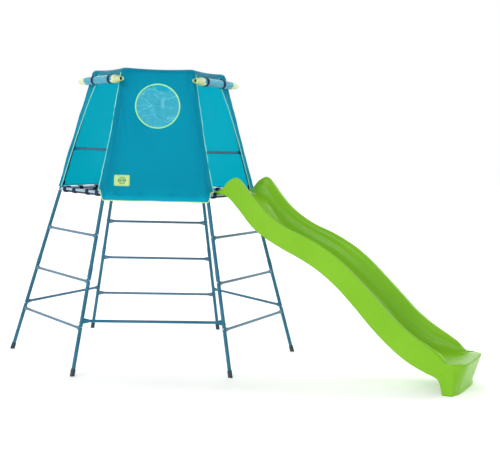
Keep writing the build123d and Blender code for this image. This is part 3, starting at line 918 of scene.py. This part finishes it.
def deck():
    bm = bmesh.new()

    def place(u, v):
        direction = 2 * pi * u
        reach = deck_reach(direction) * v
        return Vector((TOWER_X + reach * cos(direction), reach * sin(direction), 0))

    def sagging(x, y):
        share = min(1.0, Vector((x - TOWER_X, y)).length / DECK_SAG_REACH)
        return Vector((x, y, DECK_TOP - DECK_DEPTH - DECK_SAG * (1 - share ** 2)))

    grid(bm, DECK_STEPS, 20, place)
    bmesh.ops.remove_doubles(bm, verts=bm.verts, dist=MERGE)
    lay_out(bm, sagging)
    piece = thicken(new_piece("deck_sheet", bm, DECK_CLOTH), DECK_CLOTH_THICKNESS)
    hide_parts("deck_panel")
    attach(piece, "frame")
    edge = []
    for t in steps(DECK_STEPS - 1, 0, 2 * pi * (DECK_STEPS - 1) / DECK_STEPS):
        reach = deck_reach(t) - 0.004
        edge.append(Vector((TOWER_X + reach * cos(t), reach * sin(t), DECK_TOP - 0.0062)))
    hem = tube("deck_edge_cord", [edge], DECK_HEM_RADIUS, NAVY_EDGE, closed=True)
    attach(hem, "frame")


deck()


LOOP_TURN = 0.0130          # rail's middle to the middle of the webbing
LOOP_HANG = 0.0125          # how much lower the loop hangs to take the deck's edge
LOOP_WIDTH = 0.045
LOOP = 0.0020
LOOP_FROM_LEG = 0.0895


def loop_places(face):
    """Middles of the loops along a deck rail."""
    outer = ring(RAIL_HEIGHT) / 2 - LOOP_FROM_LEG
    return (-outer, outer) if face == "slide" else (-outer, -0.105, 0.105, outer)


def loops():
    bm = bmesh.new()
    for face, angle in FACES.items():
        middle = on_face(angle, 0, RAIL_HEIGHT)
        along_rail, out = turned(angle, 1, 0), turned(angle, 0, 1)
        for place in loop_places(face):
            def wrap(u, v):
                t = 2 * pi * v
                y = LOOP_TURN * cos(t)
                z = LOOP_TURN * sin(t)
                if z < 0:
                    z -= LOOP_HANG * min(1.0, -z / (0.35 * LOOP_TURN))
                swell = 1 + 0.06 * crease(v * 3, place * 20, angle)
                width = LOOP_WIDTH * (u - 0.5)
                return middle + along_rail * (place + width) + out * y * swell + Vector((0, 0, z))
            grid(bm, 6, 40, wrap)
    map_cloth(bm, lambda spot: (spot.x * 0.5 + spot.y * 0.5, spot.z))
    bmesh.ops.remove_doubles(bm, verts=bm.verts, dist=MERGE)
    piece = thicken(new_piece("deck_loops_webbing", bm, NAVY_WEB), LOOP)
    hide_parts("deck_loops")
    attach(piece, "frame")


loops()


TIE_HEIGHT = 1.222
TIE_TALL = 0.026
TIE_RADIUS = 0.0170         # leg's middle to the inner end of the webbing
TIE_OVERLAP = 0.0022        # how much further out its outer end lies
TIE_TURNS = 1.08
TIE = 0.0018


def corner_ties():
    """Webbing ties that hold the cover's corners to the legs."""
    bm = bmesh.new()
    for corner in range(6):
        direction = 30 + 60 * corner

        def wrap(u, v):
            turn = 2 * pi * TIE_TURNS * u
            radius = TIE_RADIUS + TIE_OVERLAP * u
            level = TIE_HEIGHT + (v - 0.5) * TIE_TALL
            along, out = radius * sin(turn), radius * cos(turn)
            return Vector((TOWER_X, 0, level)) + turned(direction, along, ring(level) + out)

        grid(bm, 44, 5, wrap)
    map_cloth(bm, lambda spot: (spot.z, spot.x + spot.y))
    piece = thicken(new_piece("corner_ties", bm, NAVY_WEB, outward=False), TIE)
    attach(piece, "frame")


corner_ties()

# ---- slide ---------------------------------------------------------------------------
slide_low, slide_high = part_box("slide")
RAIL_X = TOWER_X + ring(RAIL_HEIGHT) * cos(pi / 6)
HALF_SLIDE = slide_high.y
FLOOR_TOP = 1.2041
EXIT_HEIGHT = 0.203
RUN = slide_high.x - RAIL_X
DROP = FLOOR_TOP - EXIT_HEIGHT
# shares of the run and of the drop along the chute's floor
FLOOR_WAVE = (
    (-0.040, 0.0), (0.0, 0.0), (0.045, 0.010), (0.112, 0.076), (0.173, 0.196), (0.240, 0.279),
    (0.346, 0.369), (0.441, 0.456), (0.589, 0.677), (0.698, 0.868), (0.793, 0.981),
    (0.883, 1.012), (0.950, 1.012), (1.0, 1.0),
)
# run from the deck rail and height: the top of the side walls, then their low edge
RIM_LINE = (
    (-0.072, 1.207), (0.020, 1.209), (0.060, 1.228), (0.105, 1.279), (0.160, 1.309),
    (0.205, 1.288), (0.290, 1.188), (0.384, 1.092), (0.530, 1.000), (0.700, 0.932),
    (0.850, 0.855), (0.970, 0.770), (1.100, 0.655), (1.230, 0.532), (1.340, 0.430),
    (1.460, 0.347), (1.570, 0.294), (1.640, 0.262), (1.690, 0.224), (1.730, 0.206),
    (1.790, 0.203),
)
SKIRT_LINE = (
    (-0.072, 1.199), (0.030, 1.199), (0.062, 1.192), (0.113, 1.172), (0.183, 1.106),
    (0.295, 0.985), (0.390, 0.917), (0.523, 0.849), (0.654, 0.791), (0.783, 0.722),
    (0.912, 0.628), (1.040, 0.508), (1.166, 0.380), (1.290, 0.271), (1.411, 0.187),
    (1.530, 0.132), (1.605, 0.102), (1.633, 0.060), (1.640, 0.0), (1.790, 0.0),
)


def along_line(line, x):
    """Smooth height through a line's points at a run."""
    if x <= line[0][0]:
        return line[0][1]
    if x >= line[-1][0]:
        return line[-1][1]
    k = next(i for i in range(len(line) - 1) if line[i + 1][0] >= x)
    (x0, y0), (x1, y1) = line[k], line[k + 1]
    before = line[k - 1] if k else (2 * x0 - x1, 2 * y0 - y1)
    after = line[k + 2] if k + 2 < len(line) else (2 * x1 - x0, 2 * y1 - y0)
    slope0 = (y1 - before[1]) / (x1 - before[0])
    slope1 = (after[1] - y0) / (after[0] - x0)
    span = x1 - x0
    t = (x - x0) / span
    return (
        (2 * t ** 3 - 3 * t ** 2 + 1) * y0 + (t ** 3 - 2 * t ** 2 + t) * span * slope0
        + (3 * t ** 2 - 2 * t ** 3) * y1 + (t ** 3 - t ** 2) * span * slope1
    )


def floor_height(run):
    return FLOOR_TOP - DROP * along_line(FLOOR_WAVE, run / RUN)


def rim_height(run):
    return max(along_line(RIM_LINE, run), floor_height(run) + 0.0015)


RIM_OUTER = 0.010           # the rim is round outside and falls away more gently inside
RIM_INNER = 0.032
FLOOR_FILLET = 0.075
SIDE_SLOPE = 0.16           # how far the inner side leans out for each metre of height
SLIDE_WALL = 0.004
SLIDE_STATIONS = 150
SIDE_ROWS = 16              # rows down the outer sides and the exit's front
TOP_FLANGE = 0.021          # how far the upper end's edge turns down
EXIT_LEAN = 0.062           # how far the foot of the exit lies behind its lip
EXIT_FLANGE = 0.010         # how far its bottom edge turns out


def section(run, count_rim=9, count_side=5, count_fillet=9, count_floor=8):
    """Half the channel's top, from its outer edge to its middle: (across, height) pairs."""
    floor = floor_height(run)
    tall = max(rim_height(run) - floor, 0.0015)
    across = HALF_SLIDE - 0.0005
    outer = min(RIM_OUTER, tall * 0.45)
    inner = min(RIM_INNER, tall * 0.45)
    f = min(FLOOR_FILLET, (tall - inner) * 0.85)
    points = []
    for k in range(count_rim):
        t = pi * k / (count_rim - 1)
        r = outer if t <= pi / 2 else inner
        points.append((across - outer + r * cos(t), floor + tall - r + r * sin(t)))
    inner, start = points[-1]
    lean = SIDE_SLOPE * tall
    for k in range(1, count_side + 1):
        t = k / count_side
        points.append((inner - lean * t, start + (floor + f - start) * t))
    inner -= lean
    for k in range(1, count_fillet + 1):
        t = pi / 2 * k / count_fillet
        points.append((inner - f + f * cos(t), floor + f - f * sin(t)))
    middle = inner - f
    for k in range(1, count_floor + 1):
        points.append((middle * (1 - k / count_floor), floor))
    return points


def front_bow(across):
    """The exit's front edge is bowed and rounds back at its corners."""
    t = abs(across) / HALF_SLIDE
    return 0.012 * t ** 2 + 0.070 * max(0.0, (t - 0.66) / 0.34) ** 2.5


def slide():
    bm = bmesh.new()
    half = section(0.5)
    total = 2 * len(half) - 1
    start = slide_low.x - RAIL_X

    def place(u, v):
        run = start + (RUN - start) * v
        index = round(u * (total - 1))
        side = 1 if index < len(half) else -1
        across, height = section(run)[index if side > 0 else total - 1 - index]
        ahead = smooth(1.45, RUN, run)
        return Vector((RAIL_X + run - front_bow(across) * ahead, side * across, height))

    grid(bm, total - 1, SLIDE_STATIONS, place)
    edges = [e for e in bm.edges if e.is_boundary]
    tops = {}
    for row in range(1, SIDE_ROWS + 1):
        made = bmesh.ops.extrude_edge_only(bm, edges=edges)["geom"]
        verts = [g for g in made if isinstance(g, bmesh.types.BMVert)]
        edges = [g for g in made if isinstance(g, bmesh.types.BMEdge)]
        for vert in verts:
            near = min(
                (e.other_vert(vert) for e in vert.link_edges if e not in edges),
                key=lambda v: (v.co - vert.co).length,
            )
            top = tops.get(near, near.co.copy())
            tops[vert] = top
            run = top.x - RAIL_X
            low = FLOOR_TOP - TOP_FLANGE
            if run > start + 0.004:
                low = max(0.0, along_line(SKIRT_LINE, run))
            share = row / SIDE_ROWS
            height = top.z + (low - top.z) * share
            at_front = smooth(RUN - 0.075, RUN - 0.02, run)
            lean = EXIT_LEAN * max(0.0, 1 - height / EXIT_HEIGHT) * at_front
            flange = EXIT_FLANGE * smooth(0.86, 0.97, share) * at_front
            vert.co = Vector((top.x - lean + flange, top.y, height))
    piece = thicken(new_piece("slide_shell", bm, PLASTIC), SLIDE_WALL, -1.0)
    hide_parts("slide")
    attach(piece, "frame")


slide()

# ---- floor, light and camera ---------------------------------------------------------
def floor_finish():
    f = Finish("pale_floor", (0.90, 0.90, 0.90), 0.9)
    f.colour(between(f, f.noise(0.6, 2), 0.3, (0.90, 0.90, 0.90), 0.7, (0.93, 0.93, 0.93)))
    return f.set(Emission_Color=(1, 1, 1, 1), Emission_Strength=0.22).material


floor_mesh = bmesh.new()
bmesh.ops.create_grid(floor_mesh, x_segments=1, y_segments=1, size=40)
floor = new_piece("floor", floor_mesh, floor_finish(), outward=False)


def soft_sun(name, toward, strength, spread):
    """Light as if through a large overhead cloth, even over the whole floor."""
    light = bpy.data.lights.new(name, "SUN")
    light.energy = strength
    light.angle = radians(spread)
    source = bpy.data.objects.new(name, light)
    source.rotation_euler = (-Vector(toward)).to_track_quat("-Z", "Y").to_euler()
    bpy.context.scene.collection.objects.link(source)


soft_sun("key_light", (-0.20, -0.80, 0.50), 1.15, 40)
soft_sun("back_light", (-0.55, 0.75, 0.55), 1.10, 40)
soft_sun("edge_light", (0.50, 0.62, 0.60), 1.00, 22)

world = bpy.data.worlds.new("studio")
world.use_nodes = True
# white walls all round, with a dimmer ceiling
sky = world.node_tree.nodes
place = sky.new("ShaderNodeTexCoord")
height = sky.new("ShaderNodeSeparateXYZ")
ceiling = sky.new("ShaderNodeMapRange")
ceiling.inputs["From Min"].default_value = 0.15
ceiling.inputs["From Max"].default_value = 0.75
ceiling.inputs["To Min"].default_value = 1.0
ceiling.inputs["To Max"].default_value = 0.42
for source, target in (
    (place.outputs["Generated"], height.inputs["Vector"]),
    (height.outputs["Z"], ceiling.inputs["Value"]),
    (ceiling.outputs["Result"], sky["Background"].inputs["Strength"]),
):
    world.node_tree.links.new(source, target)
sky["Background"].inputs["Color"].default_value = (1, 1, 1, 1)
bpy.context.scene.world = world
bpy.context.scene.view_settings.view_transform = "Standard"

camera_data = bpy.data.cameras.new("camera")
camera_data.lens = 74.39
camera_data.sensor_width = 36.0
camera = bpy.data.objects.new("camera", camera_data)
YAW, PITCH, ROLL = 0.4442, -0.0798, 0.0268
level_ahead = Vector((-sin(YAW), cos(YAW), 0))
level_right = Vector((cos(YAW), sin(YAW), 0))
ahead = level_ahead * cos(PITCH) + Vector((0, 0, sin(PITCH)))
over = Vector((0, 0, cos(PITCH))) - level_ahead * sin(PITCH)
right = level_right * cos(ROLL) + over * sin(ROLL)
above = over * cos(ROLL) - level_right * sin(ROLL)
camera.matrix_world = Matrix((
    (right.x, above.x, -ahead.x, TOWER_X + 3.8733),
    (right.y, above.y, -ahead.y, -6.5351),
    (right.z, above.z, -ahead.z, 1.5264),
    (0, 0, 0, 1),
))
bpy.context.scene.collection.objects.link(camera)
bpy.context.scene.camera = camera
